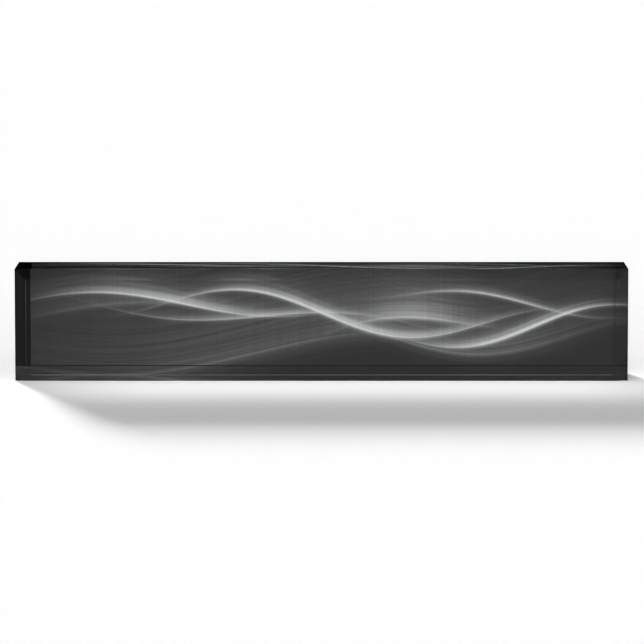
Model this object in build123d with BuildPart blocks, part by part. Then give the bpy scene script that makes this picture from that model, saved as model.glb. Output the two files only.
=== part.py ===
"""Desk name plate: a clear bevelled acrylic bar that stands on its long edge and is printed on its back.

Sizes are in millimetres. +Z is up, the front faces -Y, and the origin is the middle of the footprint.
"""
import os

from build123d import *

# Bar, sawn from thick clear acrylic sheet
bar_length = 207.6
bar_height = 38.1
bar_thickness = 25.4

# Polished bevels: each width is seen from the front, and each depth runs along the sides
front_bevel_width = 3.9
front_bevel_depth = 0.8
back_bevel_width = 3.1
back_bevel_depth = 1.6

# Printed layers, drawn about three times as thick as cured ink
picture_thickness = 0.1
backing_thickness = 0.1

# Places that follow from these sizes
overall_thickness = bar_thickness + picture_thickness + backing_thickness
front_y = -overall_thickness / 2
front_shoulder_y = front_y + front_bevel_depth
back_y = front_y + bar_thickness
back_shoulder_y = back_y - back_bevel_depth
end_x = bar_length / 2

# Acrylic block: bevelled in front along its top and both ends, and behind along all four edges.
# Its side profile runs the length of the bar, and its plan profile cuts the ends.
with BuildPart() as acrylic_block:
    with BuildSketch(Plane.YZ):
        with BuildLine():
            Polyline(
                (front_y, 0),
                (back_shoulder_y, 0),
                (back_y, back_bevel_width),
                (back_y, bar_height - back_bevel_width),
                (back_shoulder_y, bar_height),
                (front_shoulder_y, bar_height),
                (front_y, bar_height - front_bevel_width),
                close=True,
            )
        make_face()
    extrude(amount=end_x, both=True)
    with BuildSketch(Plane.XY):
        with BuildLine():
            Polyline(
                (0, front_y),
                (end_x - front_bevel_width, front_y),
                (end_x, front_shoulder_y),
                (end_x, back_shoulder_y),
                (end_x - back_bevel_width, back_y),
                (0, back_y),
            )
            mirror(about=Plane.YZ)
        make_face()
    extrude(amount=bar_height, mode=Mode.INTERSECT)
acrylic_block.part.label = "acrylic_block"

# Printed picture: a skin over the back and its bevels, which is the bar moved back less the bar
with BuildPart() as printed_picture:
    with Locations((0, picture_thickness, 0)):
        add(acrylic_block.part)
    add(acrylic_block.part, mode=Mode.SUBTRACT)
printed_picture.part.label = "printed_picture"

# White backing: the next skin, which makes the picture opaque and closes it off from behind
with BuildPart() as white_backing:
    with Locations((0, picture_thickness + backing_thickness, 0)):
        add(acrylic_block.part)
    with Locations((0, picture_thickness, 0)):
        add(acrylic_block.part, mode=Mode.SUBTRACT)
white_backing.part.label = "white_backing"

os.makedirs("parts", exist_ok=True)
export_step(acrylic_block.part, "parts/acrylic_block.step")
export_step(printed_picture.part, "parts/printed_picture.step")
export_step(white_backing.part, "parts/white_backing.step")
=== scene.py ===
"""Looks of a clear acrylic desk name plate, built around its CAD frame.

The bar is drawn again with softened edges and a clear material. The two printed layers behind it keep their
CAD shapes and get their inks. Lengths are in metres, in the frame's own axes, and the picture's
pattern counts millimetres.
"""
import math

import bpy
from bpy.props import FloatProperty, FloatVectorProperty, PointerProperty
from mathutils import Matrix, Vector


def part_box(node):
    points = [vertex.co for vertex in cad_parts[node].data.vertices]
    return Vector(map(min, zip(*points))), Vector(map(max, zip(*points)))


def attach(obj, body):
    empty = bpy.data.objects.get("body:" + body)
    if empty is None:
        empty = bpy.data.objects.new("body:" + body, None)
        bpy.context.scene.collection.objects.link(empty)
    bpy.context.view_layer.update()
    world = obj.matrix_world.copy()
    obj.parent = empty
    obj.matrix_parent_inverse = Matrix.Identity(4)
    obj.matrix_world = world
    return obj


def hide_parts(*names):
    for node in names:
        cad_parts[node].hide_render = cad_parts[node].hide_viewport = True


bl_info = {
    "name": "Desk name plate",
    "version": (1, 0, 0),
    "blender": (4, 5, 0),
    "location": "View3D > Sidebar > Name plate",
    "description": "Dresses a clear acrylic desk name plate: its block, picture, backing and stage",
    "category": "Object",
}

MM = 0.001
BODY = "root"

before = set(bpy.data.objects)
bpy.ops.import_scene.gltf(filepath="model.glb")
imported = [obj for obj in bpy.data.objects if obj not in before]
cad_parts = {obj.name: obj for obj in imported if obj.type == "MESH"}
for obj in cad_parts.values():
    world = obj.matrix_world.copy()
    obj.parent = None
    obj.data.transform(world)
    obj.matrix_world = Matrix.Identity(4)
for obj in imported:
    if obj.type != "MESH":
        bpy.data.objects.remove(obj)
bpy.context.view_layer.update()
bar_low, bar_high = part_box("acrylic_block")
bar_middle = (bar_low + bar_high) / 2
bar_size = bar_high - bar_low


def linear(hex_code):
    """An sRGB hex colour as linear RGBA."""
    channels = [int(hex_code[i:i + 2], 16) / 255 for i in (1, 3, 5)]
    return [c / 12.92 if c <= 0.04045 else ((c + 0.055) / 1.055) ** 2.4 for c in channels] + [1.0]


def ring_sizes(end_y):
    """Bevel widths at the ends, top and foot of the CAD bar's face at end_y, and the bevel's depth."""
    corners = [v.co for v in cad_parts["acrylic_block"].data.vertices]
    tiny = 0.01 * MM
    flat = [c for c in corners if abs(c.y - end_y) < tiny]
    end = bar_high.x - max(c.x for c in flat)
    top = bar_high.z - max(c.z for c in flat)
    foot = min(c.z for c in flat) - bar_low.z
    depth = min(abs(c.y - end_y) for c in corners if abs(c.y - end_y) > tiny)
    return {"end": end, "top": top, "foot": foot, "depth": depth}


FRONT_BEVEL = ring_sizes(bar_low.y)
BACK_BEVEL = ring_sizes(bar_high.y)


class BlockSettings(bpy.types.PropertyGroup):
    """Edges and clarity of the acrylic block."""

    arris: FloatProperty(
        name="Arris",
        description="Width of the rounding that polishing leaves on the shoulder and the edges behind it",
        default=0.12 * MM, unit="LENGTH", precision=5,
    )
    bond: FloatProperty(
        name="Bond",
        description="How far the block reaches into the picture, so that no air shows between them",
        default=0.03 * MM, unit="LENGTH", precision=5,
    )
    index: FloatProperty(
        name="Index of refraction", description="Cast acrylic bends light by this much", default=1.49,
    )
    tint: FloatVectorProperty(
        name="Tint", description="Colour of light that has crossed the block's surface",
        subtype="COLOR", size=4, min=0, max=1, default=linear("#fdfefe"),
    )
    rub: FloatProperty(
        name="Rub", description="Size of the faint satin patches on the sawn faces",
        default=9 * MM, unit="LENGTH", precision=5,
    )


class PictureSettings(bpy.types.PropertyGroup):
    """Tones of the printed picture, with painted shade at its ends and foot and a painted highlight along its
    foot.
    """

    ground: FloatVectorProperty(
        name="Ground", description="Dark grey ink between the picture's lights",
        subtype="COLOR", size=4, min=0, max=1, default=linear("#353535"),
    )
    # Painted shade: this black darkens the end bevels and draws the dark line along the foot bevel
    edge: FloatVectorProperty(
        name="Edge", description="Black ink at the ends and along the foot of the picture",
        subtype="COLOR", size=4, min=0, max=1, default=linear("#040404"),
    )
    light: FloatVectorProperty(
        name="Light", description="The picture's palest tone",
        subtype="COLOR", size=4, min=0, max=1, default=linear("#fafafa"),
    )
    # Painted shade: width of the black that darkens the bevels at both ends
    end_shade_width: FloatProperty(
        name="Border", description="Width of the black ink at both ends of the picture",
        default=4.3 * MM, unit="LENGTH", precision=5,
    )
    # Painted shade at the right end, weaker than at the left
    right_end_shade: FloatProperty(
        name="Right end", description="Strength of the black ink at the right end, where the left end has 1",
        default=0.2, min=0, max=1,
    )
    # Painted shade: a thin dark line along the upper edge of the back's foot bevel
    foot_shade_line: FloatProperty(
        name="Foot line", description="Height of the thin dark line along the foot of the picture",
        default=0.32 * MM, unit="LENGTH", precision=5,
    )
    # Painted highlight: the lowest strip is drawn paler, for a glint along the foot
    foot_glint: FloatProperty(
        name="Foot edge",
        description="Height of the lowest strip, where the ink thins and the white shows through",
        default=0.14 * MM, unit="LENGTH", precision=5,
    )
    # Strength of the painted highlight along the foot
    glint_share: FloatProperty(
        name="Thin ink", description="How much of the white shows through along the foot edge",
        default=0.17, min=0, max=1,
    )
    # Real streaks are finer, and these are drawn wide enough to show in the render
    streak: FloatProperty(
        name="Streak", description="Width of the faint upright streaks that the print head leaves",
        default=0.9 * MM, unit="LENGTH", precision=5,
    )
    streak_length: FloatProperty(
        name="Streak length", description="Length of a streak, counted in its widths", default=40,
    )


class BackingSettings(bpy.types.PropertyGroup):
    """Tone and texture of the white ink."""

    white: FloatVectorProperty(
        name="White", description="Colour of the backing ink",
        subtype="COLOR", size=4, min=0, max=1, default=linear("#dbdbd9"),
    )
    band: FloatProperty(
        name="Band", description="Height of one pass of the print head",
        default=2.4 * MM, unit="LENGTH", precision=5,
    )
    mottle: FloatProperty(
        name="Mottle", description="Size of the cloudy patches in the ink",
        default=22 * MM, unit="LENGTH", precision=5,
    )
    # Real orange peel is finer, and this is drawn large enough to show in the render
    peel: FloatProperty(
        name="Peel", description="Size of the dimples of the ink's orange peel",
        default=0.6 * MM, unit="LENGTH", precision=5,
    )


class StageSettings(bpy.types.PropertyGroup):
    """Camera, floor, lamps and studio light."""

    elevation: FloatProperty(
        name="Elevation", description="How far above the horizon the camera stands",
        default=math.radians(6.5), subtype="ANGLE",
    )
    distance: FloatProperty(
        name="Distance", description="From the camera to the plate", default=1.55, unit="LENGTH",
    )
    view_width: FloatProperty(
        name="View width", description="Width that the picture spans at the plate's front shoulder",
        default=218 * MM, unit="LENGTH", precision=4,
    )
    aim: FloatVectorProperty(
        name="Aim", description="Where the camera looks at the front shoulder, across and up",
        size=2, default=(0.17 * MM, 19.98 * MM), unit="LENGTH", precision=5,
    )
    reach: FloatProperty(
        name="Reach", description="From the plate to the edges of the floor", default=12.0, unit="LENGTH",
    )
    floor: FloatVectorProperty(
        name="Floor", description="Colour of the paper sweep",
        subtype="COLOR", size=4, min=0, max=1, default=linear("#dddddd"),
    )
    bright_floor: FloatVectorProperty(
        name="Bright floor",
        description="Colour that shows the camera a white sweep without more light on the plate",
        subtype="COLOR", size=4, min=0, max=2, default=(1.56, 1.56, 1.56, 1.0),
    )
    # Painted shade: the sweep glows in even greys for what polished faces mirror and what shows through the
    # block, for the paper in the plate's shadow
    mirrored_floor: FloatVectorProperty(
        name="Mirrored floor", description="Tone of the sweep as polished faces mirror it",
        subtype="COLOR", size=4, min=0, max=1, default=linear("#989898"),
    )
    floor_through: FloatVectorProperty(
        name="Floor through", description="Tone of the sweep as it shows through the clear block",
        subtype="COLOR", size=4, min=0, max=1, default=linear("#bcbcbc"),
    )
    key_azimuth: FloatProperty(
        name="Key azimuth", description="Where the key lamp stands around the plate, from its front",
        default=math.radians(197), subtype="ANGLE",
    )
    key_elevation: FloatProperty(
        name="Key elevation", description="How far above the horizon the key lamp stands",
        default=math.radians(15.5), subtype="ANGLE",
    )
    key_spread: FloatProperty(
        name="Key spread", description="Width of the key lamp in the sky, which softens the shadow",
        default=math.radians(9), subtype="ANGLE",
    )
    key_strength: FloatProperty(
        name="Key strength", description="Strength of the key lamp", default=4.0, min=0,
    )
    strip_place: FloatVectorProperty(
        name="Strip place", description="Middle of the strip lamp, from the foot of the block's front",
        size=3, default=(16 * MM, -18 * MM, 100 * MM), subtype="TRANSLATION", unit="LENGTH", precision=4,
    )
    strip_depth: FloatProperty(
        name="Strip depth", description="Size of the strip lamp from front to back",
        default=44 * MM, unit="LENGTH", precision=4,
    )
    strip_spread: FloatProperty(
        name="Strip spread", description="Angle that the strip lamp's light spreads over",
        default=math.radians(48), subtype="ANGLE",
    )
    strip_strength: FloatProperty(
        name="Strip strength", description="Strength of the strip lamp", default=0.009, min=0, precision=4,
    )
    walls: FloatProperty(
        name="Walls", description="Faint light from all around except behind", default=0.12, min=0,
    )
    low_band: FloatProperty(
        name="Low band", description="Light from low in front", default=6.1, min=0,
    )
    high_band: FloatProperty(
        name="High band", description="Light from higher in front", default=0.9, min=0,
    )
    overhead: FloatProperty(
        name="Overhead", description="Light from above", default=0.1, min=0,
    )


def add_node(tree, kind, settings=None, inputs=None):
    """Adds a node, sets its properties, and fills its inputs with values or with links from sockets."""
    node = tree.nodes.new(kind)
    for name, value in (settings or {}).items():
        setattr(node, name, value)
    for key, value in (inputs or {}).items():
        if isinstance(value, bpy.types.NodeSocket):
            tree.links.new(value, node.inputs[key])
        else:
            node.inputs[key].default_value = value
    return node


def new_material(name):
    """A material whose tree holds only its output, with that tree and output."""
    material = bpy.data.materials.new(name)
    material.use_nodes = True
    tree = material.node_tree
    tree.nodes.clear()
    return material, tree, add_node(tree, "ShaderNodeOutputMaterial")


def clear_acrylic(settings):
    """Cast acrylic, diamond polished: clear as glass in front, and faintly satin where it was sawn."""
    material, tree, output = new_material("clear_cast_acrylic_polished")
    place = add_node(tree, "ShaderNodeTexCoord")
    facing = add_node(tree, "ShaderNodeSeparateXYZ", {}, {"Vector": place.outputs["Normal"]})
    lean = add_node(tree, "ShaderNodeMath", {"operation": "ABSOLUTE"}, {0: facing.outputs["Y"]})
    # The top, foot and ends are sawn, and face neither the front nor the back
    most_lean = 0.2
    sawn = add_node(tree, "ShaderNodeMath", {"operation": "LESS_THAN"}, {0: lean.outputs[0], 1: most_lean})
    rub = add_node(tree, "ShaderNodeTexNoise", {}, {
        "Vector": place.outputs["Object"], "Scale": 1 / settings.rub, "Detail": 3.0,
    })
    satin = add_node(tree, "ShaderNodeMapRange", {}, {
        "Value": rub.outputs["Fac"], "From Min": 0.3, "From Max": 0.7, "To Min": 0.03, "To Max": 0.09,
    })
    gloss = add_node(tree, "ShaderNodeMath", {"operation": "MULTIPLY"}, {
        0: sawn.outputs[0], 1: satin.outputs["Result"],
    })
    shader = add_node(tree, "ShaderNodeBsdfPrincipled", {}, {
        "Base Color": settings.tint,
        "Roughness": gloss.outputs[0],
        "IOR": settings.index,
        "Transmission Weight": 1.0,
    })
    tree.links.new(shader.outputs["BSDF"], output.inputs["Surface"])
    return material


# The bright rim along a veil's curve: its width in millimetres, and its light against the veil's own
RIM_WIDTH = 0.35
RIM_LIGHT = 0.9
# How many times faster a veil fades below its curve than above it
UNDERCUT = 8
# Steps of the noise that splits a veil into threads: per millimetre along and across it, and by its phase
THREAD_STEPS = (0.012, 0.9, 9.0)
# Each veil: its curve, fade, strength and window, as the veil function takes them
VEILS = (
    ((-11.0, 0.03, 6.0, 180.0, 0.8), 20.0, 0.13, (-22.0, 58.0)),
    ((-4.0, -0.02, 7.0, 130.0, 2.2), 14.0, 0.13, (52.0, 40.0)),
    ((4.0, 0.05, 5.0, 170.0, 4.0), 9.0, 0.08, (-66.0, 30.0)),
    ((-9.0, 0.16, 6.0, 120.0, 0.6), 4.0, 0.8, (32.0, 16.0)),
    ((2.0, -0.06, 6.5, 110.0, 3.1), 1.2, 2.6, (8.0, 34.0)),
    ((7.0, 0.04, 5.5, 140.0, 5.2), 1.4, 1.6, (-50.0, 26.0)),
    ((-6.0, 0.05, 6.0, 100.0, 1.7), 1.1, 2.1, (66.0, 22.0)),
    ((-1.0, -0.10, 4.0, 130.0, 1.0), 1.0, 0.7, (-22.0, 30.0)),
    ((10.0, -0.07, 3.0, 90.0, 4.4), 0.9, 0.7, (60.0, 22.0)),
)


def veil(tree, across, up, curve, fade, strength, window):
    """A veil of light: sharp below its curve, fading out above it, and brightest inside a window.

    curve is height, rise, swing, length and phase of the wave that the veil follows. fade is its soft height.
    window is the middle and half width of its bright stretch. Lengths are in millimetres.
    """
    height, rise, swing, length, phase = curve
    middle, half_width = window
    turn = add_node(tree, "ShaderNodeMath", {"operation": "MULTIPLY_ADD"}, {
        0: across, 1: math.tau / length, 2: phase,
    })
    wave = add_node(tree, "ShaderNodeMath", {"operation": "SINE"}, {0: turn.outputs[0]})
    slope = add_node(tree, "ShaderNodeMath", {"operation": "MULTIPLY_ADD"}, {0: across, 1: rise, 2: height})
    line = add_node(tree, "ShaderNodeMath", {"operation": "MULTIPLY_ADD"}, {
        0: wave.outputs[0], 1: swing, 2: slope.outputs[0],
    })
    over = add_node(tree, "ShaderNodeMath", {"operation": "SUBTRACT"}, {0: up, 1: line.outputs[0]})
    above = add_node(tree, "ShaderNodeMath", {"operation": "MAXIMUM"}, {0: over.outputs[0], 1: 0.0})
    below = add_node(tree, "ShaderNodeMath", {"operation": "MINIMUM"}, {0: over.outputs[0], 1: 0.0})
    soft = add_node(tree, "ShaderNodeMath", {"operation": "MULTIPLY"}, {0: above.outputs[0], 1: -1 / fade})
    edge = add_node(tree, "ShaderNodeMath", {"operation": "MULTIPLY_ADD"}, {
        0: below.outputs[0], 1: UNDERCUT / fade, 2: soft.outputs[0],
    })
    glow = add_node(tree, "ShaderNodeMath", {"operation": "EXPONENT"}, {0: edge.outputs[0]})
    off = add_node(tree, "ShaderNodeMath", {"operation": "ABSOLUTE"}, {0: over.outputs[0]})
    thin = add_node(tree, "ShaderNodeMath", {"operation": "MULTIPLY"}, {0: off.outputs[0], 1: -1 / RIM_WIDTH})
    rim = add_node(tree, "ShaderNodeMath", {"operation": "EXPONENT"}, {0: thin.outputs[0]})
    lit = add_node(tree, "ShaderNodeMath", {"operation": "MULTIPLY_ADD"}, {
        0: rim.outputs[0], 1: RIM_LIGHT, 2: glow.outputs[0],
    })
    along = add_node(tree, "ShaderNodeMath", {"operation": "SUBTRACT"}, {0: across, 1: middle})
    reach = add_node(tree, "ShaderNodeMath", {"operation": "DIVIDE"}, {0: along.outputs[0], 1: half_width})
    square = add_node(tree, "ShaderNodeMath", {"operation": "MULTIPLY"}, {
        0: reach.outputs[0], 1: reach.outputs[0],
    })
    minus = add_node(tree, "ShaderNodeMath", {"operation": "MULTIPLY"}, {0: square.outputs[0], 1: -1.0})
    bell = add_node(tree, "ShaderNodeMath", {"operation": "EXPONENT"}, {0: minus.outputs[0]})
    shine = add_node(tree, "ShaderNodeMath", {"operation": "MULTIPLY"}, {
        0: lit.outputs[0], 1: bell.outputs[0],
    })
    flow = add_node(tree, "ShaderNodeCombineXYZ", {}, {"X": across, "Y": over.outputs[0], "Z": phase})
    drawn_out = add_node(tree, "ShaderNodeVectorMath", {"operation": "MULTIPLY"}, {
        0: flow.outputs["Vector"], 1: THREAD_STEPS,
    })
    threads = add_node(tree, "ShaderNodeTexNoise", {}, {
        "Vector": drawn_out.outputs["Vector"], "Scale": 1.0, "Detail": 3.0,
    })
    strands = add_node(tree, "ShaderNodeMapRange", {}, {
        "Value": threads.outputs["Fac"], "From Min": 0.3, "From Max": 0.7, "To Min": 0.55, "To Max": 1.3,
    })
    silk = add_node(tree, "ShaderNodeMath", {"operation": "MULTIPLY"}, {
        0: shine.outputs[0], 1: strands.outputs["Result"],
    })
    sheer = add_node(tree, "ShaderNodeMath", {"operation": "MULTIPLY"}, {0: silk.outputs[0], 1: strength})
    return sheer.outputs[0]


def picture_ink(settings):
    """Cured ink seen through the acrylic: matt, as no air lies between them, in pale veils on dark grey, with
    painted shade at the ends and foot and a painted highlight along the foot.
    """
    material, tree, output = new_material("cured_ink_grey_picture")
    place = add_node(tree, "ShaderNodeTexCoord")
    centred = add_node(tree, "ShaderNodeMapping", {}, {
        "Vector": place.outputs["Object"],
        "Location": -bar_middle / MM,
        "Scale": (1 / MM, 1 / MM, 1 / MM),
    })
    axes = add_node(tree, "ShaderNodeSeparateXYZ", {}, {"Vector": centred.outputs["Vector"]})
    across, up = axes.outputs["X"], axes.outputs["Z"]
    tone = 0.0
    for curve, fade, strength, window in VEILS:
        shine = veil(tree, across, up, curve, fade, strength, window)
        tone = add_node(tree, "ShaderNodeMath", {"operation": "ADD"}, {0: tone, 1: shine}).outputs[0]
    streak_height = settings.streak_length * settings.streak
    pulled = add_node(tree, "ShaderNodeVectorMath", {"operation": "MULTIPLY"}, {
        0: place.outputs["Object"], 1: (1 / settings.streak, 0.0, 1 / streak_height),
    })
    passes = add_node(tree, "ShaderNodeTexNoise", {}, {
        "Vector": pulled.outputs["Vector"], "Scale": 1.0, "Detail": 2.0,
    })
    streaks = add_node(tree, "ShaderNodeMapRange", {}, {
        "Value": passes.outputs["Fac"], "From Min": 0.3, "From Max": 0.7, "To Min": 0.9, "To Max": 1.1,
    })
    amount = add_node(tree, "ShaderNodeMath", {"operation": "MULTIPLY"}, {
        0: tone, 1: streaks.outputs["Result"],
    })
    less = add_node(tree, "ShaderNodeMath", {"operation": "MULTIPLY"}, {0: amount.outputs[0], 1: -1.0})
    unlit = add_node(tree, "ShaderNodeMath", {"operation": "EXPONENT"}, {0: less.outputs[0]})
    printed = add_node(tree, "ShaderNodeMath", {"operation": "SUBTRACT"}, {0: 1.0, 1: unlit.outputs[0]})
    # Painted highlight: a pale strip along the lowest edge between the ends
    half = bar_size / 2 / MM
    inner_end = half.x - settings.end_shade_width / MM
    sideways = add_node(tree, "ShaderNodeMath", {"operation": "ABSOLUTE"}, {0: across})
    between = add_node(tree, "ShaderNodeMath", {"operation": "LESS_THAN"}, {
        0: sideways.outputs[0], 1: inner_end,
    })
    lowest = add_node(tree, "ShaderNodeMath", {"operation": "LESS_THAN"}, {
        0: up, 1: settings.foot_glint / MM - half.z,
    })
    glint_strip = add_node(tree, "ShaderNodeMath", {"operation": "MULTIPLY"}, {
        0: lowest.outputs[0], 1: between.outputs[0],
    })
    with_glint = add_node(tree, "ShaderNodeMath", {"operation": "MULTIPLY_ADD"}, {
        0: glint_strip.outputs[0], 1: settings.glint_share, 2: printed.outputs[0],
    })
    colour = add_node(tree, "ShaderNodeMix", {"data_type": "RGBA"}, {
        "Factor": with_glint.outputs[0], 6: settings.ground, 7: settings.light,
    })
    # Painted shade in black ink: both ends above the foot bevel, weaker at the right, and a dark line along
    # that bevel's upper edge
    at_left = add_node(tree, "ShaderNodeMath", {"operation": "LESS_THAN"}, {0: across, 1: -inner_end})
    at_right = add_node(tree, "ShaderNodeMath", {"operation": "GREATER_THAN"}, {0: across, 1: inner_end})
    ends = add_node(tree, "ShaderNodeMath", {"operation": "MULTIPLY_ADD"}, {
        0: at_right.outputs[0], 1: settings.right_end_shade, 2: at_left.outputs[0],
    })
    to_foot = add_node(tree, "ShaderNodeMath", {"operation": "ADD"}, {
        0: up, 1: half.z - BACK_BEVEL["foot"] / MM,
    })
    over_foot = add_node(tree, "ShaderNodeMath", {"operation": "GREATER_THAN"}, {
        0: to_foot.outputs[0], 1: 0.0,
    })
    end_shade_above_foot = add_node(tree, "ShaderNodeMath", {"operation": "MULTIPLY"}, {
        0: ends.outputs[0], 1: over_foot.outputs[0],
    })
    # Painted shade line along the foot bevel's upper edge
    off_foot = add_node(tree, "ShaderNodeMath", {"operation": "ABSOLUTE"}, {0: to_foot.outputs[0]})
    on_shade_line = add_node(tree, "ShaderNodeMath", {"operation": "LESS_THAN"}, {
        0: off_foot.outputs[0], 1: settings.foot_shade_line / MM / 2,
    })
    # Where painted shade in black covers the picture
    dark = add_node(tree, "ShaderNodeMath", {"operation": "MAXIMUM"}, {
        0: end_shade_above_foot.outputs[0], 1: on_shade_line.outputs[0],
    })
    with_painted_shade = add_node(tree, "ShaderNodeMix", {"data_type": "RGBA"}, {
        "Factor": dark.outputs[0], 6: colour.outputs[2], 7: settings.edge,
    })
    shader = add_node(tree, "ShaderNodeBsdfPrincipled", {}, {
        "Base Color": with_painted_shade.outputs[2],
        "Roughness": 0.6,
        "Specular IOR Level": 0.0,
    })
    tree.links.new(shader.outputs["BSDF"], output.inputs["Surface"])
    return material


def white_ink(settings):
    """Opaque white ink, printed in passes: satin, with faint bands and a fine orange peel."""
    material, tree, output = new_material("opaque_white_ink")
    place = add_node(tree, "ShaderNodeTexCoord")
    axes = add_node(tree, "ShaderNodeSeparateXYZ", {}, {"Vector": place.outputs["Object"]})
    turn = add_node(tree, "ShaderNodeMath", {"operation": "MULTIPLY"}, {
        0: axes.outputs["Z"], 1: math.tau / settings.band,
    })
    passes = add_node(tree, "ShaderNodeMath", {"operation": "SINE"}, {0: turn.outputs[0]})
    cloud = add_node(tree, "ShaderNodeTexNoise", {}, {
        "Vector": place.outputs["Object"], "Scale": 1 / settings.mottle, "Detail": 4.0,
    })
    band_share = 0.05
    mottle = add_node(tree, "ShaderNodeMath", {"operation": "MULTIPLY_ADD"}, {
        0: passes.outputs[0], 1: band_share, 2: cloud.outputs["Fac"],
    })
    shade = add_node(tree, "ShaderNodeMapRange", {}, {
        "Value": mottle.outputs[0], "From Min": 0.3, "From Max": 0.7, "To Min": 0.94, "To Max": 1.0,
    })
    colour = add_node(tree, "ShaderNodeMix", {"data_type": "RGBA", "blend_type": "MULTIPLY"}, {
        "Factor": 1.0, 6: settings.white, 7: shade.outputs["Result"],
    })
    peel = add_node(tree, "ShaderNodeTexNoise", {}, {
        "Vector": place.outputs["Object"], "Scale": 1 / settings.peel, "Detail": 2.0,
    })
    bump = add_node(tree, "ShaderNodeBump", {}, {
        "Height": peel.outputs["Fac"], "Strength": 0.25, "Distance": 0.05 * MM,
    })
    shader = add_node(tree, "ShaderNodeBsdfPrincipled", {}, {
        "Base Color": colour.outputs[2],
        "Roughness": 0.5,
        "Normal": bump.outputs["Normal"],
    })
    tree.links.new(shader.outputs["BSDF"], output.inputs["Surface"])
    return material


def floor_paper(settings):
    """Matt white paper sweep, which shows the camera a white floor with the plate's shadow on it.

    Mirrored by the plate or seen through it, the sweep is an even glowing grey, painted shade for the paper
    in the plate's shadow, which lessens grain in the plate.
    """
    material, tree, output = new_material("white_paper_sweep")
    # The even tone is no lamp, so it isn't sampled as one
    material.cycles.emission_sampling = "NONE"
    rays = add_node(tree, "ShaderNodeLightPath").outputs
    paper = add_node(tree, "ShaderNodeBsdfDiffuse", {}, {"Color": settings.floor})
    bright = add_node(tree, "ShaderNodeBsdfDiffuse", {}, {"Color": settings.bright_floor})
    looked_at = add_node(tree, "ShaderNodeMixShader", {}, {
        0: rays["Is Camera Ray"], 1: paper.outputs["BSDF"], 2: bright.outputs["BSDF"],
    })
    tone = add_node(tree, "ShaderNodeMix", {"data_type": "RGBA"}, {
        "Factor": rays["Is Transmission Ray"], 6: settings.mirrored_floor, 7: settings.floor_through,
    })
    # Painted shade: an even grey glow for the paper in the plate's shadow
    even = add_node(tree, "ShaderNodeEmission", {}, {"Color": tone.outputs[2], "Strength": 1.0})
    by_the_plate = add_node(tree, "ShaderNodeMath", {"operation": "MAXIMUM"}, {
        0: rays["Is Glossy Ray"], 1: rays["Is Transmission Ray"],
    })
    shown = add_node(tree, "ShaderNodeMixShader", {}, {
        0: by_the_plate.outputs[0], 1: looked_at.outputs["Shader"], 2: even.outputs["Emission"],
    })
    tree.links.new(shown.outputs["Shader"], output.inputs["Surface"])
    return material


def bar_inputs(length, thickness, height):
    """Named inputs of the bar's node tree: its outer sizes, and the bevels around its front and its back."""
    values = {"Length": length, "Thickness": thickness, "Height": height}
    for face, bevel in (("Front", FRONT_BEVEL), ("Back", BACK_BEVEL)):
        for part, size in bevel.items():
            values[face + " bevel " + part] = size
    return values


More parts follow.
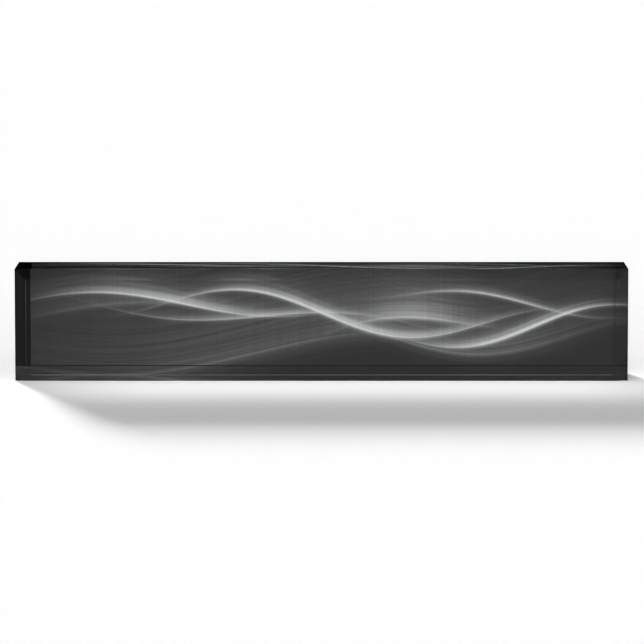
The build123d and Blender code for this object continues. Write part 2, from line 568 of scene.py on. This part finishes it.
def bevelled_bar_tree(names):
    """A box of four rings along its thickness, whose outer rings are drawn in to bevel both faces."""
    tree = bpy.data.node_groups.new("bevelled_bar", "GeometryNodeTree")
    for name in names:
        tree.interface.new_socket(name, in_out="INPUT", socket_type="NodeSocketFloat")
    tree.interface.new_socket("Material", in_out="INPUT", socket_type="NodeSocketMaterial")
    tree.interface.new_socket("Geometry", in_out="OUTPUT", socket_type="NodeSocketGeometry")
    given = add_node(tree, "NodeGroupInput").outputs
    size = add_node(tree, "ShaderNodeCombineXYZ", {}, {
        "X": given["Length"], "Y": given["Thickness"], "Z": given["Height"],
    })
    box = add_node(tree, "GeometryNodeMeshCube", {}, {
        "Size": size.outputs["Vector"], "Vertices X": 2, "Vertices Y": 4, "Vertices Z": 2,
    })
    place = add_node(tree, "GeometryNodeInputPosition")
    axes = add_node(tree, "ShaderNodeSeparateXYZ", {}, {"Vector": place.outputs["Position"]})
    # The bevel of the nearer face, at its foot or its top
    behind = add_node(tree, "FunctionNodeCompare", {"operation": "GREATER_THAN"}, {
        0: axes.outputs["Y"], 1: 0.0,
    })
    bevel = {}
    for part in FRONT_BEVEL:
        bevel[part] = add_node(tree, "GeometryNodeSwitch", {"input_type": "FLOAT"}, {
            "Switch": behind.outputs[0],
            "False": given["Front bevel " + part],
            "True": given["Back bevel " + part],
        }).outputs[0]
    above = add_node(tree, "FunctionNodeCompare", {"operation": "GREATER_THAN"}, {
        0: axes.outputs["Z"], 1: 0.0,
    })
    upright = add_node(tree, "GeometryNodeSwitch", {"input_type": "FLOAT"}, {
        "Switch": above.outputs[0], "False": bevel["foot"], "True": bevel["top"],
    })
    # The outer rings stay at the faces, and the inner ones move to the shoulders
    half = add_node(tree, "ShaderNodeMath", {"operation": "MULTIPLY"}, {0: given["Thickness"], 1: 0.5})
    out = add_node(tree, "ShaderNodeMath", {"operation": "ABSOLUTE"}, {0: axes.outputs["Y"]})
    third = add_node(tree, "ShaderNodeMath", {"operation": "MULTIPLY"}, {0: given["Thickness"], 1: 1 / 3})
    on_face = add_node(tree, "FunctionNodeCompare", {"operation": "GREATER_THAN"}, {
        0: out.outputs[0], 1: third.outputs[0],
    })
    shoulder = add_node(tree, "ShaderNodeMath", {"operation": "SUBTRACT"}, {
        0: half.outputs[0], 1: bevel["depth"],
    })
    from_middle = add_node(tree, "GeometryNodeSwitch", {"input_type": "FLOAT"}, {
        "Switch": on_face.outputs[0], "False": shoulder.outputs[0], "True": half.outputs[0],
    })
    side = {}
    for axis in "XYZ":
        sign = add_node(tree, "ShaderNodeMath", {"operation": "SIGN"}, {0: axes.outputs[axis]})
        side[axis] = sign.outputs[0]
    drawn_in = {}
    for axis, width in (("X", bevel["end"]), ("Z", upright.outputs[0])):
        inset = add_node(tree, "GeometryNodeSwitch", {"input_type": "FLOAT"}, {
            "Switch": on_face.outputs[0], "False": 0.0, "True": width,
        })
        pull = add_node(tree, "ShaderNodeMath", {"operation": "MULTIPLY"}, {
            0: side[axis], 1: inset.outputs[0],
        })
        drawn_in[axis] = add_node(tree, "ShaderNodeMath", {"operation": "SUBTRACT"}, {
            0: axes.outputs[axis], 1: pull.outputs[0],
        }).outputs[0]
    drawn_in["Y"] = add_node(tree, "ShaderNodeMath", {"operation": "MULTIPLY"}, {
        0: side["Y"], 1: from_middle.outputs[0],
    }).outputs[0]
    point = add_node(tree, "ShaderNodeCombineXYZ", {}, drawn_in)
    bar = add_node(tree, "GeometryNodeSetPosition", {}, {
        "Geometry": box.outputs["Mesh"], "Position": point.outputs["Vector"],
    })
    # Edges from the front shoulder back are marked for softening, up to just short of the back shoulder.
    # Further back they meet the ink.
    short_of = 0.9
    back_shoulder = add_node(tree, "ShaderNodeMath", {"operation": "SUBTRACT"}, {
        0: half.outputs[0], 1: given["Back bevel depth"],
    })
    inside = add_node(tree, "ShaderNodeMath", {"operation": "MULTIPLY"}, {
        0: back_shoulder.outputs[0], 1: short_of,
    })
    middle = add_node(tree, "GeometryNodeInputPosition")
    middle_axes = add_node(tree, "ShaderNodeSeparateXYZ", {}, {"Vector": middle.outputs["Position"]})
    free = add_node(tree, "ShaderNodeMath", {"operation": "LESS_THAN"}, {
        0: middle_axes.outputs["Y"], 1: inside.outputs[0],
    })
    front_shoulder = add_node(tree, "ShaderNodeMath", {"operation": "SUBTRACT"}, {
        0: given["Front bevel depth"], 1: half.outputs[0],
    })
    crisp = add_node(tree, "ShaderNodeMath", {"operation": "LESS_THAN"}, {
        0: middle_axes.outputs["Y"], 1: front_shoulder.outputs[0],
    })
    polished = add_node(tree, "ShaderNodeMath", {"operation": "SUBTRACT"}, {
        0: free.outputs[0], 1: crisp.outputs[0],
    })
    marked = add_node(tree, "GeometryNodeStoreNamedAttribute", {"data_type": "FLOAT", "domain": "EDGE"}, {
        "Geometry": bar.outputs["Geometry"], "Name": "bevel_weight_edge", "Value": polished.outputs[0],
    })
    real = add_node(tree, "GeometryNodeRealizeInstances", {}, {"Geometry": marked.outputs["Geometry"]})
    dressed = add_node(tree, "GeometryNodeSetMaterial", {}, {
        "Geometry": real.outputs["Geometry"], "Material": given["Material"],
    })
    add_node(tree, "NodeGroupOutput", {}, {"Geometry": dressed.outputs["Geometry"]})
    return tree


def freeze(piece):
    """Turns what a piece's modifiers make into its plain mesh and removes them."""
    depsgraph = bpy.context.evaluated_depsgraph_get()
    mesh = bpy.data.meshes.new_from_object(piece.evaluated_get(depsgraph))
    piece.modifiers.clear()
    piece.data = mesh


def new_piece(name, data):
    """A new object in the scene."""
    piece = bpy.data.objects.new(name, data)
    bpy.context.scene.collection.objects.link(piece)
    return piece


def paint(node_name, material):
    """Gives a CAD node one material."""
    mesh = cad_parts[node_name].data
    mesh.materials.clear()
    mesh.materials.append(material)


class PLATE_OT_acrylic_block(bpy.types.Operator):
    """Draw the clear bevelled bar with polished edges"""

    bl_idname = "plate.acrylic_block"
    bl_label = "Acrylic block"

    def execute(self, context):
        settings = context.scene.plate_block
        piece = new_piece("clear_block", bpy.data.meshes.new("clear_block"))
        values = bar_inputs(bar_size.x, bar_size.y + settings.bond, bar_size.z)
        tree = bevelled_bar_tree(values)
        values["Material"] = clear_acrylic(settings)
        build = piece.modifiers.new("bar", "NODES")
        build.node_group = tree
        for socket in tree.interface.items_tree:
            if socket.name in values:
                build[socket.identifier] = values[socket.name]
        freeze(piece)
        for vertex in piece.data.vertices:
            vertex.co += bar_middle + Vector((0, settings.bond / 2, 0))
        arris = piece.modifiers.new("arris", "BEVEL")
        arris.limit_method = "WEIGHT"
        arris.width = settings.arris
        arris.segments = 3
        freeze(piece)
        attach(piece, BODY)
        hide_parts("acrylic_block")
        return {"FINISHED"}


class PLATE_OT_printed_picture(bpy.types.Operator):
    """Ink the picture layer behind the bar"""

    bl_idname = "plate.printed_picture"
    bl_label = "Printed picture"

    def execute(self, context):
        paint("printed_picture", picture_ink(context.scene.plate_picture))
        return {"FINISHED"}


class PLATE_OT_white_backing(bpy.types.Operator):
    """Ink the white layer behind the picture"""

    bl_idname = "plate.white_backing"
    bl_label = "White backing"

    def execute(self, context):
        paint("white_backing", white_ink(context.scene.plate_backing))
        return {"FINISHED"}


def direction(azimuth, elevation):
    """Unit vector from the plate towards a place around it: azimuth 0 is in front, a quarter turn right."""
    level = math.cos(elevation)
    return Vector((math.sin(azimuth) * level, -math.cos(azimuth) * level, math.sin(elevation)))


def add_key(settings):
    """A distant lamp that lights only what it reaches directly, so that no speckle forms in the block."""
    lamp = bpy.data.lights.new("key", "SUN")
    lamp.angle = settings.key_spread
    lamp.energy = settings.key_strength
    lamp.cycles.max_bounces = 0
    towards = direction(settings.key_azimuth, settings.key_elevation)
    new_piece("key", lamp).rotation_euler = towards.to_track_quat("Z", "Y").to_euler()


def add_strip(settings):
    """A long lamp that lights only the floor in front, for the light that leaves the block at its foot."""
    lamp = bpy.data.lights.new("strip", "AREA")
    lamp.shape = "RECTANGLE"
    lamp.size = bar_size.x
    lamp.size_y = settings.strip_depth
    lamp.spread = settings.strip_spread
    lamp.energy = settings.strip_strength
    lamp.cycles.max_bounces = 0
    strip = new_piece("strip", lamp)
    strip.location = Vector((0, bar_low.y, 0)) + Vector(settings.strip_place)
    strip.visible_camera = False
    strip.visible_glossy = False
    strip.visible_transmission = False


def studio_world(settings):
    """A dim studio: soft light low in front, a weaker band above it, a little from overhead, and none behind.

    The dark gap between the two bands is what the top bevel mirrors.
    """
    # Each stretch: the axis it runs along, where it starts, where it is full, and its strength there.
    # Y is -1 straight in front and 1 behind, and Z is the sine of the elevation.
    stretches = {
        "walls": ("Y", 0.6, -0.5, settings.walls),
        "in front": ("Y", 0.0, -0.35, 1.0),
        "low band": ("Z", 0.25, 0.16, settings.low_band),
        "high band's foot": ("Z", 0.35, 0.42, 1.0),
        "high band's top": ("Z", 0.68, 0.55, settings.high_band),
        "overhead": ("Z", 0.75, 0.95, settings.overhead),
    }
    world = bpy.data.worlds.new("studio")
    world.use_nodes = True
    tree = world.node_tree
    towards = add_node(tree, "ShaderNodeTexCoord")
    axes = add_node(tree, "ShaderNodeSeparateXYZ", {}, {"Vector": towards.outputs["Generated"]})
    light = {}
    for name, (axis, start, full, strength) in stretches.items():
        light[name] = add_node(tree, "ShaderNodeMapRange", {"interpolation_type": "SMOOTHSTEP"}, {
            "Value": axes.outputs[axis], "From Min": start, "From Max": full, "To Max": strength,
        }).outputs["Result"]
    bands = add_node(tree, "ShaderNodeMath", {"operation": "MULTIPLY_ADD"}, {
        0: light["high band's foot"], 1: light["high band's top"], 2: light["low band"],
    })
    around = add_node(tree, "ShaderNodeMath", {"operation": "ADD"}, {0: light["walls"], 1: light["overhead"]})
    glow = add_node(tree, "ShaderNodeMath", {"operation": "MULTIPLY_ADD"}, {
        0: light["in front"], 1: bands.outputs[0], 2: around.outputs[0],
    })
    tree.links.new(glow.outputs[0], tree.nodes["Background"].inputs["Color"])
    return world


class PLATE_OT_stage(bpy.types.Operator):
    """Set up the floor, lamps and camera"""

    bl_idname = "plate.stage"
    bl_label = "Stage"

    def execute(self, context):
        settings = context.scene.plate_stage
        reach = settings.reach
        # Just under the plate, so that its foot and the floor don't lie in one plane
        floor_height = -0.05 * MM
        sheet = bpy.data.meshes.new("floor")
        corners = [(x * reach, y * reach, floor_height) for x, y in ((-1, -1), (1, -1), (1, 1), (-1, 1))]
        sheet.from_pydata(corners, [], [(0, 1, 2, 3)])
        sheet.materials.append(floor_paper(settings))
        new_piece("floor", sheet)

        add_key(settings)
        add_strip(settings)
        context.scene.world = studio_world(settings)

        aim_across, aim_up = settings.aim
        aim = Vector((aim_across, bar_low.y + FRONT_BEVEL["depth"], aim_up))
        back = direction(0, settings.elevation)
        lens = bpy.data.cameras.new("camera")
        lens.lens = lens.sensor_width * settings.distance / settings.view_width
        lens.clip_end = 4 * reach
        camera = new_piece("camera", lens)
        camera.location = aim + back * settings.distance
        camera.rotation_euler = back.to_track_quat("Z", "Y").to_euler()
        context.scene.camera = camera
        context.scene.view_settings.view_transform = "Standard"
        return {"FINISHED"}


class PLATE_PT_sidebar(bpy.types.Panel):
    """The plate's pieces, in the order in which they are made"""

    bl_idname = "PLATE_PT_sidebar"
    bl_label = "Name plate"
    bl_space_type = "VIEW_3D"
    bl_region_type = "UI"
    bl_category = "Name plate"

    def draw(self, context):
        for operator in OPERATORS:
            self.layout.operator(operator.bl_idname)


GROUPS = {
    "plate_block": BlockSettings,
    "plate_picture": PictureSettings,
    "plate_backing": BackingSettings,
    "plate_stage": StageSettings,
}
OPERATORS = (PLATE_OT_acrylic_block, PLATE_OT_printed_picture, PLATE_OT_white_backing, PLATE_OT_stage)


def register():
    for group in GROUPS.values():
        bpy.utils.register_class(group)
    for name, group in GROUPS.items():
        setattr(bpy.types.Scene, name, PointerProperty(type=group))
    for operator in OPERATORS:
        bpy.utils.register_class(operator)
    bpy.utils.register_class(PLATE_PT_sidebar)


def unregister():
    bpy.utils.unregister_class(PLATE_PT_sidebar)
    for operator in reversed(OPERATORS):
        bpy.utils.unregister_class(operator)
    for name in GROUPS:
        delattr(bpy.types.Scene, name)
    for group in reversed(list(GROUPS.values())):
        bpy.utils.unregister_class(group)


def main():
    register()
    bpy.ops.plate.acrylic_block()
    bpy.ops.plate.printed_picture()
    bpy.ops.plate.white_backing()
    bpy.ops.plate.stage()


if __name__ == "__main__":
    main()
